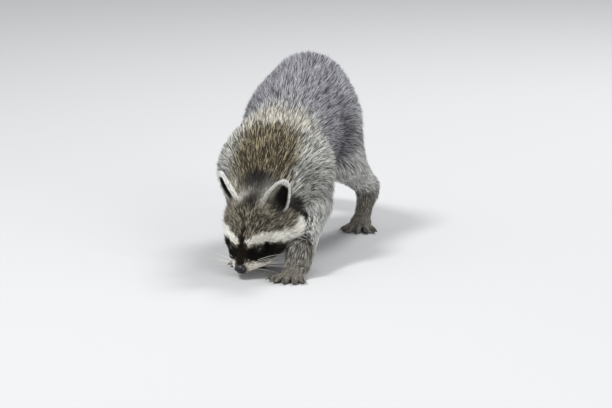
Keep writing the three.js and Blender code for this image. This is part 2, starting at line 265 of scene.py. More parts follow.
# Each toe's turn from the paw's heading, its length as a share, and its place across the paw.
TOES = [(-40, 0.72, -0.75), (-19, 0.95, -0.42), (0, 1, 0), (18, 0.95, 0.42), (38, 0.76, 0.75)]
TAIL_LINE = [
    ([0, 192, 216], 31),
    ([-6, 246, 164], 31),
    ([-24, 296, 120], 33),
    ([-52, 338, 90], 32),
    ([-82, 368, 72], 26),
    ([-100, 384, 64], 17),
]
TAIL = [
    cone(a, ra, b, rb, 16 if i else 17, 10 if i else 30)
    for i, ((a, ra), (b, rb)) in enumerate(zip(TAIL_LINE, TAIL_LINE[1:]))
]


def leg_blobs(leg):
    (top, r0), (knee, r1), (ankle, r2) = leg["top"], leg["knee"], leg["ankle"]
    return [cone(top, r0, knee, r1, 13, 26), cone(knee, r1 - 2, ankle, r2, 6.5, 14)]


def paw_toes(leg):
    """Each toe's root, tip and heading, in the order of TOES."""
    _, _, (pad, r), heading, toe = leg["paw"]
    width = r * 1.08
    for fan, out, aside in TOES:
        turn = math.radians(heading + fan)
        ahead_toe = vec(math.sin(turn), -math.cos(turn), 0)
        root = vec(pad[0] + aside * width, pad[1] - width * 0.3, pad[2] * 0.8)
        tip = root + ahead_toe * toe * out
        tip[2] = TOE_R - 0.5
        yield root, tip, ahead_toe


def paw_blobs(leg):
    _, (heel, heel_r), (pad, r), _, _ = leg["paw"]
    ankle, ankle_r = leg["ankle"]
    width = r * 1.08
    blobs = [
        cone(ankle, ankle_r, heel, ankle_r - 2, 4, 8),
        cone(heel, heel_r, pad, r - 1.5, 1.8, 8),
        ellipsoid(pad, [width * 1.12, width, pad[2] * 1.02], 1, 6),
    ]
    blobs += [cone(root, TOE_R, tip, TOE_R, 0.8, 2.5) for root, tip, _ in paw_toes(leg)]
    return blobs


GROUPS = {"trunk": TRUNK, "neck": NECK, "head": HEAD, "tail": TAIL}
for leg_name, leg in LEGS.items():
    GROUPS[leg_name] = leg_blobs(leg)
    GROUPS[leg["paw"][0]] = paw_blobs(leg)
ALL_BLOBS = [blob for group in GROUPS.values() for blob in group]


# ---------- ears ----------
def ear_axes(side):
    root = on_head(on_side(EAR_ROOT, side))
    up = on_head(EAR_TIPS[side]) - root
    height = np.linalg.norm(up)
    up = up / height
    across = EAR_SIDES[side] @ HEAD_AXES
    across = unit(across - (across @ up) * up)
    return root, height, up, across, np.cross(across, up) * side


def ear_place(p, side):
    """Where a point is on an ear: up it from 0 to 1, across and in front in mm, and the ear's half width."""
    root, height, up, across, front = ear_axes(side)
    rel = p - root
    t = rel @ up / height
    girth = np.clip(4 * t * (1 - t), 0, 1) ** 0.36
    half = EAR_HALF * (1 + EAR_TAPER * (0.5 - t)) * girth
    return t, rel @ across, rel @ front, half, girth


EAR_SKIN = 2.3  # thickness of an ear without its hair


def ear_distance(p, side):
    t, sideways, forwards, half, girth = ear_place(p, side)
    s = np.clip(sideways / np.maximum(half, 2), -1, 1)
    middle = EAR_CUP * (s * s * girth * girth - 0.7) * (1 - 0.35 * np.clip(t, 0, 1))
    slope = 2 * EAR_CUP * s / EAR_HALF
    sheet = np.abs(forwards - middle) / np.sqrt(1 + slope * slope) - EAR_SKIN / 2
    edge = np.abs(sideways) - half + 0.8
    ends = (np.abs(t - 0.5) - 0.5) * ear_axes(side)[1]
    return soft_cut(soft_cut(sheet, -edge, 1.2), -ends, 1.2)


# ---------- eyes, lids and mouth ----------
GAZE = unit(vec(0.66, 0.7, 0.27))
LID = 1.5  # how far the lids stand over the eyeball
OPENING = (5.6, 3.9)  # half the length and half the height of the opening between the lids


def eye_axes(side):
    """An eye's centre, the way it looks, its upright and its long axis."""
    gaze = on_side(GAZE, side) @ HEAD_AXES
    upright = unit(head_up + 0.25 * side * head_left - ((head_up + 0.25 * side * head_left) @ gaze) * gaze)
    return on_head(on_side(EYE_AT, side)), gaze, upright, np.cross(upright, gaze)


def cut_eye(d, p, side):
    centre, gaze, upright, along = eye_axes(side)
    rel = p - centre
    away = norm(rel)
    d = soft_union(d, away - EYE_R - LID, 5)
    x, y = rel @ along, rel @ upright
    length, height = OPENING
    opening = np.abs(y) - height * (1 - (x / length) ** 2)
    hole = np.maximum(np.maximum(opening * 0.7, 1 - rel @ gaze), away - 2.2 * EYE_R)
    d = soft_cut(d, hole, 0.8)
    return soft_cut(d, away - EYE_R - 0.15, 0.3)


MOUTH = [vec(0, 43, -17.5), vec(7, 37, -18), vec(12, 26, -19), vec(17, 12, -22)]


def stops_along(spots):
    """Where each point of a bent line is along it, from 0 to 1."""
    spans = norm(np.diff(spots, axis=0))
    return np.concatenate([[0], np.cumsum(spans)]) / spans.sum()


def line_distance(p, spots):
    """The distance from each point to a bent line, and how far along it the nearest place is, from 0 to 1."""
    best = np.full(len(p), 1e9)
    place = np.zeros(len(p))
    stops = stops_along(spots)
    for a, b, start, end in zip(spots, spots[1:], stops, stops[1:]):
        d, t = to_stretch(p, a, b)
        nearer = d < best
        best = np.where(nearer, d, best)
        place = np.where(nearer, mix(start, end, t), place)
    return best, place


HEAD_REACH = 130  # from the head's middle, past its ears, eyes and mouth


def skin_field(p, base=None):
    """The skin's own surface: the blobs without their coat, with ears, lids and mouth."""
    d = field(p, ALL_BLOBS, 1) if base is None else base
    near = norm(p - on_head([0, -20, 15])) < HEAD_REACH
    d = d.copy()
    part, q = p[near], into_head(p[near])
    e = d[near]
    for side in (1, -1):
        e = soft_union(e, ear_distance(part, side), 5)
        e = cut_eye(e, part, side)
    line, _ = line_distance(q * vec(0, 1, 1) + vec(1, 0, 0) * np.abs(q[:, :1]), MOUTH)
    d[near] = soft_cut(e, line - 0.9, 1.5)
    return d


def slope_of(f, p, step=0.2):
    """How a field grows at each point along each axis."""
    return np.stack([(f(p + step * axis) - f(p - step * axis)) / (2 * step) for axis in np.eye(3)], axis=1)


# ---------- the skin's mesh ----------
HEAD_BOX = (vec(-58, -242, 2), vec(92, -112, 150))
SKIN_BOX = (vec(-125, -245, -6), vec(125, 405, 285))
EAR_REACH = 48  # half the side of a block that holds an ear
FINE = 1.53  # grid spacing over the head
COARSE = 3.8  # grid spacing elsewhere
FAR = 60.0  # the field's value where no blob reaches
NEAR = 30  # ears, lids and mouth are worked out this close to the blobs
CORNERS = [(c & 1, (c >> 1) & 1, (c >> 2) & 1) for c in range(8)]  # of a cell
EDGES = [(a, a | bit) for a in range(8) for bit in (1, 2, 4) if not a & bit]  # between two corners


def axis_steps(k):
    """Grid lines along one axis: close together over the head, wider elsewhere."""
    lo, hi = SKIN_BOX[0][k], SKIN_BOX[1][k]
    inner_lo, inner_hi = HEAD_BOX[0][k], HEAD_BOX[1][k]
    before = np.linspace(lo, inner_lo, max(int((inner_lo - lo) / COARSE), 2), endpoint=False)
    inner = np.arange(inner_lo, inner_hi, FINE)
    return np.concatenate([before, inner, np.linspace(inner_hi, hi, int((hi - inner_hi) / COARSE) + 1)])


def grid_values(steps):
    """The blobs' field on the grid, each blob worked out only where it can matter."""
    value = np.full([len(s) for s in steps], FAR)
    for blob in ALL_BLOBS:
        lo, hi = blob_box(blob)
        reach = blob["blend"] + 4
        spans = [np.searchsorted(s, (lo[k] - reach, hi[k] + reach)) for k, s in enumerate(steps)]
        picks = [slice(*span) for span in spans]
        lines = [s[pick] for s, pick in zip(steps, picks)]
        p = np.stack(np.meshgrid(*lines, indexing="ij"), axis=-1).reshape(-1, 3)
        e = blob_distance(blob, into_head(p) if blob["head"] else p, 1)
        old = value[tuple(picks)]
        value[tuple(picks)] = soft_union(old, e.reshape(old.shape), blob["blend"])
    return value


def cell_points(steps, value, cells):
    """A point in each cell: the middle of the places where the surface crosses the cell's edges."""
    at = [tuple((cells + c).T) for c in CORNERS]
    v = np.stack([value[a] for a in at], axis=1)
    spots = np.stack([np.stack([steps[k][a[k]] for k in range(3)], axis=1) for a in at], axis=1)
    total = np.zeros((len(cells), 3))
    crossings = np.zeros(len(cells))
    for a, b in EDGES:
        crossed = (v[:, a] < 0) != (v[:, b] < 0)
        t = np.where(crossed, v[:, a] / np.where(crossed, v[:, a] - v[:, b], 1), 0)
        total += crossed[:, None] * (spots[:, a] + t[:, None] * (spots[:, b] - spots[:, a]))
        crossings += crossed
    return total / crossings[:, None]


def cell_faces(inside, index):
    """A face through the four cells round each grid edge that the surface crosses, turned outward."""
    faces = []
    for axis in range(3):
        others = [k for k in range(3) if k != axis]
        first = np.take(inside, range(inside.shape[axis] - 1), axis=axis)
        second = np.take(inside, range(1, inside.shape[axis]), axis=axis)
        edges = np.argwhere(first != second)
        flip = second[tuple(edges.T)] ^ (axis == 1)
        ring = []
        for back in ((0, 0), (1, 0), (1, 1), (0, 1)):
            cell = edges.copy()
            cell[:, others[0]] -= back[0]
            cell[:, others[1]] -= back[1]
            ring.append(index[tuple(cell.T)])
        face = np.stack(ring, axis=1)
        face[flip] = face[flip][:, ::-1]
        faces.append(face)
    return np.concatenate(faces)


def polygonise():
    """A closed mesh round the skin: one vertex in each grid cell that the surface passes through."""
    steps = [axis_steps(k) for k in range(3)]
    value = grid_values(steps)
    matters = np.abs(value) < NEAR
    for side in EARS.values():
        middle = on_head((on_side(EAR_ROOT, side) + EAR_TIPS[side]) / 2)
        block = [np.searchsorted(s, (at - EAR_REACH, at + EAR_REACH)) for s, at in zip(steps, middle)]
        matters[tuple(slice(first, last) for first, last in block)] = True
    near = np.argwhere(matters)
    p = np.stack([steps[k][near[:, k]] for k in range(3)], axis=1)
    value[tuple(near.T)] = skin_field(p, value[tuple(near.T)])
    inside = value < 0
    ends = (slice(0, -1), slice(1, None))
    count = sum(inside[ends[i], ends[j], ends[k]].astype(np.int8) for i, j, k in CORNERS)
    cells = np.argwhere((count > 0) & (count < 8))
    index = np.full(count.shape, -1)
    index[tuple(cells.T)] = np.arange(len(cells))
    return cell_points(steps, value, cells), cell_faces(inside, index)


def settle(f, p, rounds, furthest):
    """Moves points along the field's slope onto the surface."""
    for _ in range(rounds):
        slope = slope_of(f, p)
        d = np.clip(f(p), -furthest, furthest)
        p = p - slope * (d / np.maximum((slope * slope).sum(axis=1), 0.3))[:, None]
    return p


points, quads = polygonise()
points = settle(skin_field, points, 3, 0.8)
points[:, 2] = np.maximum(points[:, 2], 0)  # the soles lie flat on the floor
print("skin", len(points), "vertices", len(quads), "quads")


# ---------- where on the animal a point is ----------
CENTRE_LINES = {
    "trunk": [vec(2, 225, 205), vec(1, 150, 195), vec(4, 20, 160), vec(CHEST_X, -85, 132)],
    "neck": [vec(CHEST_X, -85, 132), vec(15, -150, 96)],
    "head": [on_head([0, -75, 0]), on_head([0, 52, -10])],
    "tail": [vec(*at) for at, _ in TAIL_LINE],
}
for leg_name, leg in LEGS.items():
    CENTRE_LINES[leg_name] = [vec(*leg[joint][0]) for joint in ("top", "knee", "ankle")]
    paw_name, (heel, _), (pad, _), _, _ = leg["paw"]
    CENTRE_LINES[paw_name] = [vec(*leg["ankle"][0]), vec(*heel), vec(*pad), vec(pad[0], pad[1] - 45, 4)]
for ear_name, side in EARS.items():
    CENTRE_LINES[ear_name] = [on_head(on_side(EAR_ROOT, side)), on_head(EAR_TIPS[side])]
NAMES = list(CENTRE_LINES)


def along_line(p, spots):
    """The direction of the nearest stretch of a bent line, softened where it bends."""
    total = np.zeros_like(p)
    for a, b in zip(spots, spots[1:]):
        d, _ = to_stretch(p, a, b)
        total += np.exp(-d / 9)[:, None] * unit(b - a)
    return unit(total)


def wave(p, size, seed):
    """A smooth field of three numbers between -1 and 1, about "size" mm from crest to crest."""
    turns = np.random.default_rng(seed)
    total = np.zeros((len(p), 3))
    for _ in range(5):
        push = turns.normal(size=(3, 3)) * (2 * math.pi / size)
        total += np.sin(p @ push + turns.uniform(0, 6.3, 3))
    return total / 2.6


DOWN = vec(0, 0, -1)
FACE = on_head([0, 15, -8])  # the hair of the neck and shoulders streams away from here


def lie_of_coat(p, share):
    """The way the hair lies: back from the nose, along the body and down its sides, legs and tail."""
    q = into_head(p)
    total = np.zeros_like(p)
    for k, name in enumerate(NAMES):
        if name == "head":
            wide = np.clip(q[:, :1] / 26, -1, 1)
            low = ramp(5, -25, q[:, 2:3])
            back = vec(0, -1, 0) + wide * vec(0.55, 0, 0) + low * vec(0, 0, -0.35)
            flow = back @ HEAD_AXES
        elif name == "neck":
            flow = unit(p - FACE) + 0.25 * DOWN
        elif name == "trunk":
            flow = -along_line(p, CENTRE_LINES[name])
            flow = flow + ramp(215, 110, p[:, 2:3]) * 0.75 * DOWN
            flow = flow + ramp(20, -80, p[:, 1:2]) * unit(p - FACE)
        else:
            flow = along_line(p, CENTRE_LINES[name])
            if "leg" in name:
                flow = flow + vec(0, 0.25, -0.1)
        total += share[:, k : k + 1] * unit(flow)
    return total


# How each part's coat grows: how steeply it stands (degrees), how much it bows out, a tuft's width (mm),
# how far the tips of a lock are drawn together, and how many tufts make a lock.
COATS = {
    "trunk": (31, 0.4, 1.4, 0.25, 3),
    "neck": (35, 0.45, 1.25, 0.2, 3),
    "head": (31, 0.35, 0.8, 0.15, 3),
    "tail": (33, 0.5, 1.6, 0.35, 4),
    "foreleg": (24, 0.4, 1.2, 0.35, 4),
    "hindleg": (24, 0.4, 1.3, 0.35, 4),
    "forepaw": (15, 0.3, 0.75, 0.25, 3),
    "hindpaw": (15, 0.3, 0.75, 0.25, 3),
    "ear": (14, 0.2, 0.6, 0.2, 3),
}


def coat_of(name):
    return COATS[name.split("_")[0]]


# ---------- markings ----------
BLUR = 5.0  # how gradually one part's coat turns into the next


def srgb(r, g, b):
    """A colour as a screen gives it, made linear."""
    c = np.array([r, g, b]) / 255
    return np.where(c < 0.04045, c / 12.92, ((c + 0.055) / 1.055) ** 2.4)


# Each zone's hair: the pale band and tip, the dark base (sRGB), and the share of tufts that end pale.
ZONES = {
    "rump": ((178, 177, 184), (50, 48, 53), 0.56),
    "crest": ((222, 216, 202), (56, 51, 44), 0.62),
    "nape": ((198, 184, 150), (18, 13, 9), 0.2),
    "side": ((230, 230, 222), (24, 22, 20), 0.52),
    "belly": ((166, 159, 143), (66, 60, 50), 0.6),
    "leg": ((252, 252, 248), (130, 129, 122), 0.8),
    "crown": ((204, 194, 172), (17, 13, 10), 0.2),
    "slate": ((58, 51, 51), (14, 12, 12), 0.35),
    "brow": ((247, 246, 238), (206, 202, 190), 1.0),
    "mask": ((17, 15, 12), (7, 6, 5), 0.5),
    "bridge": ((44, 33, 22), (14, 10, 7), 0.5),
    "muzzle": ((252, 248, 238), (206, 196, 180), 0.95),
    "chin": ((222, 216, 202), (112, 104, 91), 0.9),
    "patch": ((60, 55, 54), (13, 12, 12), 0.4),
    "ear_back": ((232, 228, 218), (150, 144, 132), 0.8),
    "ear_rim": ((250, 249, 244), (222, 219, 210), 1.0),
    "ear_hair": ((206, 204, 186), (96, 92, 76), 0.9),
    # Inside the ear: the ear's own dark inner colour, made darker as painted shade in its cup.
    "ear_in_dark_and_shade": ((40, 37, 28), (8, 7, 5), 0.35),
    "ring_dark": ((46, 40, 35), (15, 13, 11), 0.4),
    "ring_pale": ((190, 178, 156), (76, 67, 55), 0.75),
    "paw": ((206, 201, 189), (98, 92, 83), 0.65),
    "sole": ((44, 38, 36), (30, 26, 25), 0.5),
}
TAIL_RINGS = 6  # the last dark ring runs into the tail's dark tip

# Markings on the head: each is a bent line in the head's frame, with half its width at each of its points.
BROW = [(10, 13, 16, 4), (18, 8, 15, 6), (26, 1, 11, 7.5), (34, -7, 4, 7.5)]
BROW += [(44, -16, -4, 8), (53, -28, -13, 14), (60, -42, -22, 19)]
EYE_MASK = [(10, 25, 3, 8.5), (17, 21, -1, 12), (26, 14, -7, 13.5), (34, 6, -12, 13)]
EYE_MASK += [(42, -2, -16, 11), (49, -8, -18, 6.5), (55, -14, -19, 2.5)]
BRIDGE = [(0, 46, -2, 3.5), (0, 37, 1, 7), (0, 25, 7, 8.5), (0, 15, 15, 6), (0, 8, 20, 3.5), (0, 0, 27, 2.6)]
MIDLINE = [(0, 0, 27, 2.4), (0, -14, 36, 1.4), (0, -30, 43, 1.0)]
MUZZLE = [(3, 48, -12, 6), (11, 38, -10, 7), (17, 31, -15, 7.5), (20, 22, -22, 8), (26, 12, -30, 9)]
JOWL = [(24, 8, -32, 8), (34, -4, -31, 10), (46, -18, -30, 12), (54, -32, -30, 14)]
EAR_BASE = [(20, -58, 42, 5), (22, -45, 38, 5), (27, -35, 31, 4)]
MIDLINE_BACK = [(0, -40, 45, 10), (6, -60, 44, 20), (8, -76, 40, 22)]
PATCH_BEHIND = [(42, -70, 6, 12), (48, -72, -10, 15), (49, -68, -24, 12)]


def near_line(q, line, soft=2.5):
    """How far a point is inside a marking, from 0 outside it to 1."""
    spots = [vec(*point[:3]) for point in line]
    d, place = line_distance(q, spots)
    half = np.interp(place, stops_along(spots), [point[3] for point in line])
    return ramp(half + soft, half - soft, d)


def zone_shares(p, n, share):
    """How much of each zone's hair grows at each point, as (name, share) painted one over another."""
    q = into_head(p) + 1.6 * wave(p, 11, 6)
    m = np.stack([np.abs(q[:, 0]), q[:, 1], q[:, 2]], axis=1)
    part = {name: share[:, k] for k, name in enumerate(NAMES)}
    legs = sum(part[name] for name in NAMES if "leg" in name)
    paws = sum(part[name] for name in NAMES if "paw" in name)
    # Borders are in mm, along and across the body or in the head's frame, and wander a little.
    ripple = wave(p, 30, 5)
    body_y = p[:, 1] + 9 * ripple[:, 0]
    body_x = np.abs(p[:, 0] - 10 + 6 * ripple[:, 1])
    top = ramp(0.1, 0.75, n[:, 2] + 0.15 * ripple[:, 2])
    over = ramp(-0.15, 0.35, n[:, 2])
    head = part["head"]
    _, ring_place = line_distance(p, CENTRE_LINES["tail"])
    ring = np.sin((ring_place * TAIL_RINGS - 0.1) * 2 * math.pi)
    ringed = np.maximum(ramp(0.0, 0.45, ring), ramp(0.88, 0.93, ring_place))
    layers = [
        ("side", np.ones(len(p))),
        ("rump", ramp(-60, 50, body_y)),
        ("belly", ramp(-0.25, -0.75, n[:, 2]) * (1 - legs)),
        ("crest", 0.85 * ramp(42, 8, np.abs(body_y + 42)) * ramp(72, 30, body_x) * top),
        ("nape", ramp(-52, -84, body_y) * ramp(62, 32, body_x) * over),
        ("leg", legs),
        ("crown", head * ramp(-88, -62, q[:, 1]) * ramp(-34, -6, q[:, 2])),
        ("slate", (head + part["neck"]) * near_line(m, MIDLINE_BACK, 7)),
        ("patch", near_line(m, PATCH_BEHIND, 4)),
        ("ear_hair", 0.45 * head * near_line(m, EAR_BASE, 4)),
        ("chin", head * ramp(-22, -32, q[:, 2]) * ramp(-70, -50, q[:, 1])),
        ("chin", head * near_line(m, JOWL)),
        ("brow", head * near_line(m, BROW, 3)),
        ("muzzle", head * near_line(m, MUZZLE)),
        ("mask", head * near_line(m, EYE_MASK)),
        ("bridge", head * near_line(m, BRIDGE, 2)),
        ("bridge", head * near_line(m, MIDLINE, 2)),
        ("ring_pale", part["tail"]),
        ("ring_dark", part["tail"] * ringed),
        ("paw", paws),
        ("sole", paws * ramp(-0.45, -0.8, n[:, 2])),
    ]
    for name, side in EARS.items():
        t, sideways, _, half, _ = ear_place(p, side)
        front = ear_axes(side)[4]
        place = sideways / np.maximum(half, 1)
        rim = np.abs(place) * np.where(place > 0, 0.92, 1.05)
        rim = np.maximum(rim, ramp(0.75, 1.0, t) * 1.05)
        # The cupped front of each ear takes the dark inner coat, which is partly painted shade in the cup.
        inside = part[name] * ramp(-0.1, 0.3, n @ front)
        layers += [
            ("ear_back", part[name]),
            ("ear_in_dark_and_shade", inside),
            ("ear_hair", inside * ramp(-0.05, -0.5, place)),
            ("ear_rim", part[name] * ramp(0.68, 0.82, rim) * ramp(0.05, 0.2, t)),
        ]
    return layers


def hair_colours(p, n, share):
    """The pale colour, the dark colour and the share of pale tips at each point."""
    pale = np.zeros((len(p), 3))
    dark = np.zeros((len(p), 3))
    tips = np.zeros(len(p))
    for name, amount in zone_shares(p, n, share):
        zone_pale, zone_dark, zone_tips = ZONES[name]
        a = np.clip(amount, 0, 1)
        pale = mix(pale, srgb(*zone_pale), a[:, None])
        dark = mix(dark, srgb(*zone_dark), a[:, None])
        tips = mix(tips, zone_tips, a)
    return pale, dark, tips


def part_shares(p):
    """How much each point belongs to each part, in the order of NAMES."""
    columns = [ear_distance(p, EARS[name]) if name in EARS else field(p, GROUPS[name], 1) for name in NAMES]
    d = np.stack(columns, axis=1)
    weight = np.exp(-(d - d.min(axis=1, keepdims=True)) / BLUR)
    return weight / weight.sum(axis=1, keepdims=True)


# ---------- materials ----------
def material(name, roughness, specular, coat=0.0):
    made = bpy.data.materials.new(name)
    made.use_nodes = True
    shader = made.node_tree.nodes["Principled BSDF"]
    shader.inputs["Roughness"].default_value = roughness
    shader.inputs["Specular IOR Level"].default_value = specular
    shader.inputs["Coat Weight"].default_value = coat
    return made, made.node_tree, shader


def painted(name, roughness, specular, grain, depth, height, coat=0.0):
    """A material in the mesh's own painted colours, broken up by fine noise, with a fine bump."""
    made, tree, shader = material(name, roughness, specular, coat)
    link = tree.links.new
    paint = tree.nodes.new("ShaderNodeAttribute")
    paint.attribute_name = "paint"
    place = tree.nodes.new("ShaderNodeTexCoord")
    noise = tree.nodes.new("ShaderNodeTexNoise")
    noise.inputs["Scale"].default_value = grain
    noise.inputs["Detail"].default_value = 4
    link(place.outputs["Object"], noise.inputs["Vector"])
    shade = tree.nodes.new("ShaderNodeMapRange")
    shade.inputs["To Min"].default_value = 1 - depth
    shade.inputs["To Max"].default_value = 1 + depth
    link(noise.outputs["Fac"], shade.inputs["Value"])
    tint = tree.nodes.new("ShaderNodeVectorMath")
    tint.operation = "SCALE"
    link(paint.outputs["Color"], tint.inputs[0])
    link(shade.outputs["Result"], tint.inputs["Scale"])
    link(tint.outputs["Vector"], shader.inputs["Base Color"])
    bump = tree.nodes.new("ShaderNodeBump")
    bump.inputs["Distance"].default_value = height * MM
    bump.inputs["Strength"].default_value = 0.6
    link(noise.outputs["Fac"], bump.inputs["Height"])
    link(bump.outputs["Normal"], shader.inputs["Normal"])
    return made


FUR = painted("fur", 0.72, 0.12, 240, 0.14, 0.2)
HIDE = painted("hide", 0.7, 0.3, 900, 0.3, 0.6)
LEATHER = painted("nose_leather", 0.42, 0.4, 1300, 0.25, 0.35, coat=0.1)
HORN = painted("horn", 0.3, 0.5, 500, 0.3, 0.1)
WET_EYE = painted("wet_eye", 0.06, 0.5, 700, 0.3, 0.02)
BRISTLE = painted("bristle", 0.4, 0.5, 300, 0.1, 0.02)


# ---------- meshes ----------
def mesh_object(name, p, faces, colours, look, uv=None):
    """A piece from points in mm, faces as arrays of three or four corners, and a colour for each point."""
    mesh = bpy.data.meshes.new(name)
    sizes = np.concatenate([np.full(len(f), f.shape[1]) for f in faces])
    corners = np.concatenate([f.ravel() for f in faces])
    mesh.vertices.add(len(p))
    mesh.vertices.foreach_set("co", to_metres(p).ravel())
    mesh.loops.add(len(corners))
    mesh.loops.foreach_set("vertex_index", corners.astype(np.int32))
    mesh.polygons.add(len(sizes))
    mesh.polygons.foreach_set("loop_start", (np.cumsum(sizes) - sizes).astype(np.int32))
    mesh.polygons.foreach_set("use_smooth", np.ones(len(sizes), bool))
    if uv is not None:
        uv_map = mesh.uv_layers.new(name="OFBake")
        uv_map.uv.foreach_set("vector", uv[corners].astype(np.float32).ravel())
    mesh.update(calc_edges=True)
    paint = mesh.color_attributes.new("paint", "FLOAT_COLOR", "POINT")
    rgba = np.ones((len(p), 4), np.float32)
    rgba[:, :3] = np.clip(colours, 0, 1)
    paint.data.foreach_set("color", rgba.ravel())
    mesh.materials.append(look)
    made = bpy.data.objects.new(name, mesh)
    bpy.context.scene.collection.objects.link(made)
    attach(made, "root")
    return made


def vertex_normals(p, faces):
    a, b, c, d = (p[faces[:, k]] for k in range(4))
    across = np.cross(c - a, d - b)
    total = np.zeros_like(p)
    for k in range(4):
        np.add.at(total, faces[:, k], across)
    return unit(total)


def closed_rings(rings, first, last):
    """A surface through rings of points, closed at both ends by a point: its points, quads and triangles."""
    many, around = rings.shape[:2]
    k = np.arange(around)
    following = (k + 1) % around
    band = np.stack([k, following, around + following, around + k], axis=1)
    end = (many - 1) * around
    caps = [
        np.stack([following, k, np.full(around, end + around)], axis=1),
        np.stack([end + k, end + following, np.full(around, end + around + 1)], axis=1),
    ]
    p = np.concatenate([rings.reshape(-1, 3), first[None], last[None]])
    return p, np.concatenate([i * around + band for i in range(many - 1)]), np.concatenate(caps)


def ball_angles(start, end, rows, around):
    """Angles from a ball's pole and round its axis, for rows of points on it."""
    turns = np.linspace(0, 2 * math.pi, around, endpoint=False)
    return np.meshgrid(np.linspace(start, end, rows), turns, indexing="ij")


def along_tube(spots, radii, sides):
    """A closed round tube through the spots."""
    ways = unit(np.gradient(spots, axis=0))
    across = unit(np.cross(ways, vec(0.31, 0.23, 0.92)))
    other = np.cross(ways, across)
    turns = np.arange(sides)[None, :, None] * 2 * math.pi / sides
    round_it = np.cos(turns) * across[:, None] + np.sin(turns) * other[:, None]
    return closed_rings(spots[:, None] + radii[:, None, None] * round_it, spots[0], spots[-1])


def joined(pieces):
    """Several (points, quads, triangles) as one."""
    starts = np.cumsum([0] + [len(piece[0]) for piece in pieces[:-1]])
    faces = [np.concatenate([piece[k] + start for piece, start in zip(pieces, starts)]) for k in (1, 2)]
    return np.concatenate([piece[0] for piece in pieces]), *faces


# ---------- the skin ----------
LONGEST = 26  # no hair stands further than this from the skin

normals = vertex_normals(points, quads)
skin_share = part_shares(points)
coat_depth = np.clip(-field(points, ALL_BLOBS, 0), 0, LONGEST)[:, None]
pale, dark, tips = hair_colours(points + coat_depth * normals, normals, skin_share)
# The skin takes the coat's dark undercolour, darkened further by 0.7: painted shade between the hairs.
undercoat_with_painted_shade = mix(dark, pale, 0.12) * 0.7  # dark, as it shows between the hairs
skin = mesh_object("skin", points, [quads], undercoat_with_painted_shade, HIDE)
FLESH = [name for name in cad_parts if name.split("_")[0] not in ("eye", "nose")]
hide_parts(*FLESH)


# ---------- tufts ----------
RINGS = (0.0, 0.5)  # where a tuft's rings are along it
GIRTHS = (0.8, 1.0)  # how thick it is there
ACROSS = (0.5, -0.5, 0.0, 0.5, -0.5, 0.0, 0.2)  # where a tuft's seven points are across its patch of the map


def tuft_mesh(root, bow, tip, out, width, shades):
    """Tapering three-sided tufts from root to tip, each bowed towards a third point."""
    side = unit(np.cross(tip - root, out))
    back = unit(np.cross(side, tip - root))
    rows = []
    along = []
    for s, girth in zip(RINGS, GIRTHS):
        middle = (1 - s) ** 2 * root + 2 * s * (1 - s) * bow + s * s * tip
        half = (width * girth / 2)[:, None] * side
        rows += [middle + half, middle - half, middle + (0.4 * width * girth)[:, None] * back]
        along += [s, s, s]
    rows.append(tip)
    along.append(1.0)
    p = np.stack(rows, axis=1).reshape(-1, 3)
    start = (np.arange(len(root)) * len(rows))[:, None]
    fours = [start + np.array([k, (k + 1) % 3, 3 + (k + 1) % 3, 3 + k]) for k in range(3)]
    threes = [start + np.array([3 + k, 3 + (k + 1) % 3, 6]) for k in range(3)]
    threes.append(start + np.array([2, 1, 0]))
    colours = np.repeat(shades, [3, 3, 1], axis=1).reshape(-1, 3)
    return p, np.concatenate(fours), np.concatenate(threes), np.tile(along, len(root)), colours


def locks(root, each):
    """Gathers roots into locks of about "each" neighbours, and gives the leader of each root's lock."""
    leaders = rng.choice(len(root), max(len(root) // each, 1), replace=False)
    tree = KDTree(len(leaders))
    for k, leader in enumerate(leaders):
        tree.insert(root[leader], k)
    tree.balance()
    return leaders[[tree.find(spot)[1] for spot in root]]


def unwrap(name, p):
    """Where points are on an unwrap of their part: round its centre line, and along it, both from 0 to 1."""
    points_on = CENTRE_LINES[name]
    _, place = line_distance(p, points_on)
    axis = unit(points_on[-1] - points_on[0])
    aside = vec(1, 0, 0) if abs(axis[0]) < 0.9 else vec(0, 1, 0)
    ref = unit(np.cross(axis, aside))
    other = np.cross(axis, ref)
    stops = stops_along(points_on)
    on_axis = np.stack([np.interp(place, stops, [q[k] for q in points_on]) for k in range(3)], axis=1)
    rel = p - on_axis
    # Past the ends of the line, the hair's place is told by how far round the end it is.
    past = (rel @ axis) / np.maximum(norm(rel), 1e-6)
    angle = np.arctan2(rel @ other, rel @ ref) / (2 * math.pi) + 0.5
    return np.stack([angle, 0.15 + 0.7 * place + 0.15 * past], axis=1)


JUST_UNDER = 0.999999  # keeps the last pick on a face


def take_roots(name, count):
    """Evenly spread places on the skin's faces that belong to a part: their points and normals."""
    mine = np.flatnonzero(quad_part == NAMES.index(name))
    a, b, c, d = (points[quads[mine, k]] for k in range(4))
    halves = (np.cross(b - a, c - a), np.cross(c - a, d - a))
    area = sum(norm(half) for half in halves) / 2
    area = area * quad_density[mine]
    total = np.cumsum(area)
    even = (np.arange(count) + rng.uniform(0, 1, count)) / count
    picks = np.searchsorted(total, even * total[-1] * JUST_UNDER)
    u, v = rng.uniform(0, 1, (2, count, 1))
    weights = [(1 - u) * (1 - v), u * (1 - v), u * v, (1 - u) * v]
    corners = quads[mine[picks]].T
    root, out = (sum(w * at[c] for w, c in zip(weights, corners)) for at in (points, normals))
    return root, unit(out)


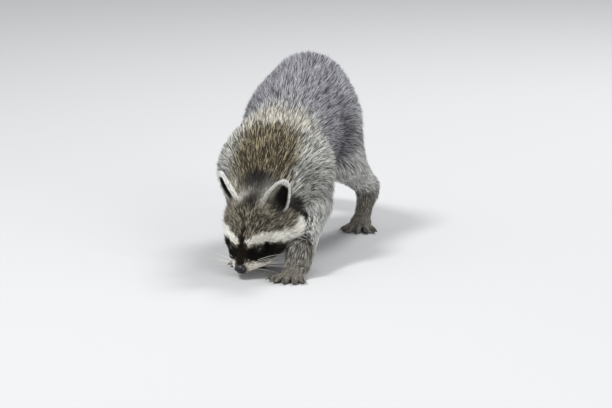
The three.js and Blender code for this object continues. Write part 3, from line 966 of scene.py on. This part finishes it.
PATCH = 0.003  # the side of a tuft's patch on the unwrap
FLOOR = 0.5  # no hair reaches lower than this
EAR_HAIR = 1.4  # the depth of the hair on the ears
CHEEK_FLUFF = 5  # how far hair at the back of the cheeks passes the solids
LEAST_TILT, UNEVEN_TILT = 8, 4.5  # degrees
UNEVEN_LIE = 0.09
UNEVEN_ENDS = 1.6  # how far tips scatter about the coat's surface
GUARD = 0.05  # how pale the tip of a dark guard hair is
COLOURED_AT = 0.8  # how far along a hair its markings are taken


def near_eyes(p):
    """The distance from each point to the nearer eyeball."""
    return np.min([norm(p - eye_axes(side)[0]) - EYE_R for side in (1, -1)], axis=0)


def on_cheek(p):
    """How far a point is onto the long fur at the back of the cheeks, from 0 to 1."""
    left, forward, up = into_head(p).T
    low = ramp(6, -6, up) * ramp(-46, -30, up)
    behind = ramp(-72, -52, forward) * ramp(-6, -24, forward)
    return ramp(40, 54, np.abs(left)) * behind * low


def within_coat(tip, spare):
    """Draws tips that stand out of the coat back to its surface, and those that fall short halfway out."""
    for _ in range(2):
        over = field(tip, ALL_BLOBS, 0) - spare
        slope = slope_of(lambda p: field(p, ALL_BLOBS, 0), tip, 1.0)
        tip = tip - np.where(over > 0, over, 0.5 * over)[:, None] * unit(slope)
    return tip


def hair_ends(name, root, out, share):
    """The depth of the coat at each root, the tuft's tip, the point it bows towards and its lock's leader."""
    lift, bend, _, pull, each = coat_of(name)
    count = len(root)
    lie = lie_of_coat(root, share) + 0.13 * wave(root, 34, 3) + 0.05 * wave(root, 11, 4)
    lie = lie + rng.normal(0, UNEVEN_LIE, (count, 3))
    flat = unit(lie - (lie * out).sum(axis=1)[:, None] * out)
    on_ear = name in EARS
    depth = np.full(count, EAR_HAIR) if on_ear else np.clip(-field(root, ALL_BLOBS, 0), 1.0, LONGEST)
    eye_room = np.maximum(near_eyes(root), 0)
    depth = np.minimum(depth, 0.5 + 0.3 * eye_room)
    tilt = np.radians(np.maximum(lift + rng.normal(0, UNEVEN_TILT, count), LEAST_TILT))
    way = np.cos(tilt)[:, None] * flat + np.sin(tilt)[:, None] * out
    length = depth / np.sin(tilt) * rng.uniform(0.75, 1.1, count)
    length = np.minimum(np.minimum(length, 2.7 * depth + 2.5), 1.5 + 0.9 * eye_room)
    tip = root + length[:, None] * way
    if not on_ear:
        spare = rng.normal(0, UNEVEN_ENDS, count) * np.clip(depth / 8, 0.15, 1.1)
        tip = within_coat(tip, spare + CHEEK_FLUFF * on_cheek(root))
    leader = locks(root, each)
    tip = tip + pull * (tip[leader] + 0.3 * (root - root[leader]) - tip)
    reach = norm(tip - root)[:, None]
    return depth, tip, root + 0.5 * reach * unit(way + bend * out), leader


def hair_shades(pale, dark, tips, leader):
    """Each tuft's colours at root, middle and tip: most end pale over a dark base, guard hairs end dark. The
    root is the hair's own dark colour, darkened further as painted shade deep in the coat.
    """
    count = len(pale)
    tone = rng.uniform(0, 1, count)
    tone = np.where(rng.uniform(0, 1, count) < 0.3, tone[leader], tone)
    guard = (tone > tips)[:, None]
    bright = np.exp(rng.normal(0, 0.13, (count, 1)) + rng.normal(0, 0.05, count)[leader][:, None])
    fade = rng.uniform(0.8, 1.08, (count, 1))
    tip_shade = mix(dark, pale, np.where(guard, GUARD, fade))
    band = mix(dark, pale, np.where(guard, 0.08, rng.uniform(0.1, 1.0, (count, 1))))
    # The root's colour is the dark base times 0.4: the hair's own dark base plus painted shade deep in the
    # coat.
    return np.stack([dark * 0.4, band, tip_shade], axis=1) * bright[:, None]


def grow_coat(piece, name, root, out):
    """One piece of coat: tufts on the given roots, all belonging to one part."""
    count = len(root)
    share = part_shares(root)
    depth, tip, bow, leader = hair_ends(name, root, out, share)
    colours_at = hair_colours(root + COLOURED_AT * (tip - root), out, share)
    shades = hair_shades(*colours_at, leader)
    wide = coat_of(name)[2] * rng.uniform(0.7, 1.25, count) * np.clip(depth / 4, 0.75, 1)
    p, fours, threes, along, colours = tuft_mesh(root, bow, tip, out, wide, shades)
    low = p[:, 2] < FLOOR
    p[low, 2] = FLOOR + rng.uniform(0, 0.4, low.sum())
    place = np.repeat(unwrap(name, root), len(ACROSS), axis=0)
    uv = place + PATCH * np.stack([np.tile(ACROSS, count), along - 0.5], axis=1)
    mesh_object(piece, p, [fours, threes], colours, FUR, np.clip(uv, 0.001, 0.999))


# How many tufts each part grows, and how many pieces they make where it isn't one.
COUNTS = {"trunk": 57000, "neck": 16000, "head": 32000, "tail": 10000}
COUNTS.update({"foreleg_left": 4800, "foreleg_right": 4000, "hindleg_left": 4800, "hindleg_right": 4800})
COUNTS.update({leg["paw"][0]: 1500 for leg in LEGS.values()})
COUNTS.update({name: 3400 for name in EARS})
PIECES = {"trunk": 4, "head": 2}

middles = points[quads].mean(axis=1)
quad_part = skin_share[quads].mean(axis=1).argmax(axis=1)


def hair_density():
    """How thickly hair grows on each face of the skin: none round the eyes, on the nose or on the soles."""
    density = ramp(0.8, 2.2, near_eyes(middles))
    density *= norm((into_head(middles) - NOSE_AT) / (NOSE_R + 0.6)) > 1
    facing = unit(normals[quads].mean(axis=1))
    paws = np.isin(quad_part, [NAMES.index(leg["paw"][0]) for leg in LEGS.values()])
    density *= ~(paws & (facing[:, 2] < -0.35) & (middles[:, 2] < 9))
    return density * (middles[:, 2] > 0.4)


quad_density = hair_density()
for name, count in COUNTS.items():
    pieces = PIECES.get(name, 1)
    root, out = take_roots(name, count)
    if name == "head":
        bins = (into_head(root)[:, 0] < 0).astype(int)
    else:
        place = unwrap(name, root)[:, 1]
        bins = np.searchsorted(np.quantile(place, np.arange(1, pieces) / pieces), place)
    for k in range(pieces):
        label = "coat_" + name + ("_%d" % (k + 1) if pieces > 1 else "")
        grow_coat(label, name, root[bins == k], out[bins == k])


# ---------- eyes ----------
IRIS = 0.62  # the iris's edge, as a share of the quarter turn from the pupil's middle
PUPIL = 0.3
CORNEA = 0.5  # how far the cornea stands out of the ball


def make_eye(side, hand):
    centre, gaze, upright, along = eye_axes(side)
    polar, turn = ball_angles(math.pi, 0, 28, 40)
    bulge = EYE_R + CORNEA * ramp(0.75, 0.2, polar)
    way = np.stack([np.cos(polar), np.sin(polar) * np.cos(turn), np.sin(polar) * np.sin(turn)], axis=-1)
    p = centre + (bulge[..., None] * way) @ np.stack([gaze, along, upright])
    share = (polar / (math.pi / 2))[..., None]
    iris = mix(srgb(34, 19, 11), srgb(16, 9, 6), ramp(PUPIL, IRIS, share))
    colour = mix(srgb(4, 3, 3), iris, ramp(PUPIL - 0.03, PUPIL + 0.03, share))
    colour = mix(colour, srgb(38, 28, 24), ramp(IRIS, IRIS + 0.07, share))
    flat, fours, caps = closed_rings(p[1:-1], p[0, 0], p[-1, 0])
    paint = np.concatenate([colour[1:-1].reshape(-1, 3), colour[0, :1], colour[-1, :1]])
    made = mesh_object("eyeball_" + hand, flat, [fours, caps], paint, WET_EYE)
    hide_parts("eye_" + hand)


make_eye(1, "left")
make_eye(-1, "right")


# ---------- nose ----------
NOSTRIL = [(4.0, -0.3, 1.7), (5.8, -1.2, 1.3), (7.3, -1.6, 0.9)]  # aside, up and reach of its dents
ENDS = 0.02  # the first and last rings' angle from the poles


def make_nose():
    """The nose pad: a rounded block with two comma-shaped nostrils and a groove down its middle, painted darker
    in these hollows as painted shade.
    """
    polar, turn = ball_angles(ENDS, math.pi - ENDS, 60, 90)
    way = np.stack([np.sin(polar) * np.cos(turn), -np.cos(polar), np.sin(polar) * np.sin(turn)], axis=-1)
    q = way * NOSE_R
    q[..., 1] = np.where(way[..., 1] > 0, q[..., 1] * (1 - 0.1 * way[..., 1] ** 2), q[..., 1])
    dent = np.zeros(q.shape[:2])
    for side in (1, -1):
        for x, z, reach in NOSTRIL:
            away = np.hypot(q[..., 0] - side * x, q[..., 2] - z)
            dent = np.maximum(dent, 3.4 * np.exp(-((away / reach) ** 2)) * (way[..., 1] > -0.1))
    groove = np.exp(-((q[..., 0] / 0.6) ** 2)) * ramp(1.5, -1.5, q[..., 2]) * (way[..., 1] > 0)
    q -= way * (dent + 0.9 * groove)[..., None]
    p = on_head(NOSE_AT + q)
    # The nostrils and the groove darken with their depth: painted shade in the hollows.
    shade = srgb(21, 19, 19) * np.exp(-0.45 * (dent + groove))[..., None]
    flat, fours, caps = closed_rings(p, p[0].mean(axis=0), p[-1].mean(axis=0))
    paint = np.concatenate([shade.reshape(-1, 3), shade[0, :1], shade[-1, :1]])
    made = mesh_object("nose_pad", flat, [fours, caps], paint, LEATHER)
    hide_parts("nose")


make_nose()


# ---------- claws ----------
CLAW_RINGS = 7
CLAW_SIDES = 8


def make_claws():
    pieces = []
    t = np.linspace(0, 1, CLAW_RINGS)[:, None]
    for leg in LEGS.values():
        for _, tip, heading in paw_toes(leg):
            spots = tip + heading * (TOE_R * 0.3 + CLAW * t) + vec(0, 0, 1) * (2.4 - 3.6 * t * t)
            spots[:, 2] = np.maximum(spots[:, 2], 0.9)
            pieces.append(along_tube(spots, 2.1 * (1 - t[:, 0]) ** 0.7 + 0.25, CLAW_SIDES))
    p, fours, threes = joined(pieces)
    along = np.tile(np.concatenate([np.repeat(t[:, 0], CLAW_SIDES), [0, 1]]), len(pieces))[:, None]
    paint = mix(srgb(44, 38, 34), srgb(112, 98, 84), along**2)
    mesh_object("claws", p, [fours, threes], paint, HORN)


make_claws()


# ---------- whiskers ----------
WHISKER_ROWS = [(37, -8, 3), (38, -12, 3), (37, -16, 3)]  # forward, up, how many


def make_whiskers():
    pieces = []
    for side in (1, -1):
        for row, (forward, up, many) in enumerate(WHISKER_ROWS):
            for k in range(many):
                q = vec(side * (14 + 1.5 * k), forward - 4.5 * k, up - 0.5 * k)
                root = settle(skin_field, on_head([q]), 3, 9)[0]
                way = vec(side * (0.95 + 0.05 * k), -0.25 - 0.16 * k, 0.22 - 0.2 * row)
                way = unit(way + rng.normal(0, 0.07, 3)) @ HEAD_AXES
                length = rng.uniform(34, 58)
                t = np.linspace(0, 1, 9)[:, None]
                spots = root + length * t * way + length * t * t * vec(0, 0.1, -0.16)
                spots[:, 2] = np.maximum(spots[:, 2], 1.5)
                pieces.append(along_tube(spots, 0.2 * (1 - t[:, 0]) + 0.05, 4))
    p, fours, threes = joined(pieces)
    paint = np.tile(srgb(226, 222, 212), (len(p), 1))
    mesh_object("whiskers", p, [fours, threes], paint, BRISTLE)


make_whiskers()


# ---------- floor, light and camera ----------
def make_floor():
    bpy.ops.mesh.primitive_plane_add(size=14, location=(0, 0, 0))
    floor = bpy.context.object
    floor.name = "floor"
    made, tree, shader = material("floor", 0.8, 0.2)
    noise = tree.nodes.new("ShaderNodeTexNoise")
    noise.inputs["Scale"].default_value = 3
    shade = tree.nodes.new("ShaderNodeMapRange")
    shade.inputs["To Min"].default_value = 0.46
    shade.inputs["To Max"].default_value = 0.5
    tree.links.new(noise.outputs["Fac"], shade.inputs["Value"])
    tree.links.new(shade.outputs["Result"], shader.inputs["Base Color"])
    floor.data.materials.append(made)
    floor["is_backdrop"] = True


def make_light(name, place, aim, size, watts):
    light = bpy.data.lights.new(name, "AREA")
    light.shape = "DISK"
    light.size = size
    light.energy = watts
    lamp = bpy.data.objects.new(name, light)
    bpy.context.scene.collection.objects.link(lamp)
    lamp.location = place
    lamp.rotation_euler = (Vector(aim) - Vector(place)).to_track_quat("-Z", "Y").to_euler()


def make_world(strength):
    world = bpy.data.worlds.new("studio")
    bpy.context.scene.world = world
    world.use_nodes = True
    back = world.node_tree.nodes["Background"]
    back.inputs["Color"].default_value = (0.93, 0.96, 1.0, 1)
    back.inputs["Strength"].default_value = strength


# The camera looks from the animal's front left, a little from above, over a long lens.
AZIMUTH = math.radians(16)
ELEVATION = math.radians(10.5)
DISTANCE = 4900
LOOK_AT = vec(89.5, -172, 106.8)  # the middle of the picture lies to the animal's left
PIXELS_PER_MM = 0.70
FRAME_WIDTH = 612
SENSOR = 36


def make_camera():
    level = vec(math.sin(AZIMUTH), -math.cos(AZIMUTH), 0)
    back = level * math.cos(ELEVATION) + vec(0, 0, math.sin(ELEVATION))
    camera = bpy.data.cameras.new("camera")
    camera.sensor_width = SENSOR
    camera.lens = PIXELS_PER_MM * DISTANCE * SENSOR / FRAME_WIDTH
    held = bpy.data.objects.new("camera", camera)
    bpy.context.scene.collection.objects.link(held)
    held.location = to_metres(LOOK_AT + DISTANCE * back)
    held.rotation_euler = Vector(back).to_track_quat("Z", "Y").to_euler()
    bpy.context.scene.camera = held


make_floor()
make_light("key", (-1.0, -1.6, 2.9), (0, -0.1, 0.1), 0.8, 90)
make_light("fill", (2.4, -2.2, 1.4), (0, -0.1, 0.1), 2.0, 44)
make_light("rim", (0.6, 2.0, 2.6), (0, 0, 0.15), 1.2, 72)
make_world(0.62)
bpy.context.scene.view_settings.view_transform = "Standard"
make_camera()

boxes = [[[float(v) for v in corner] for corner in box] for box in (cad_box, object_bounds())]
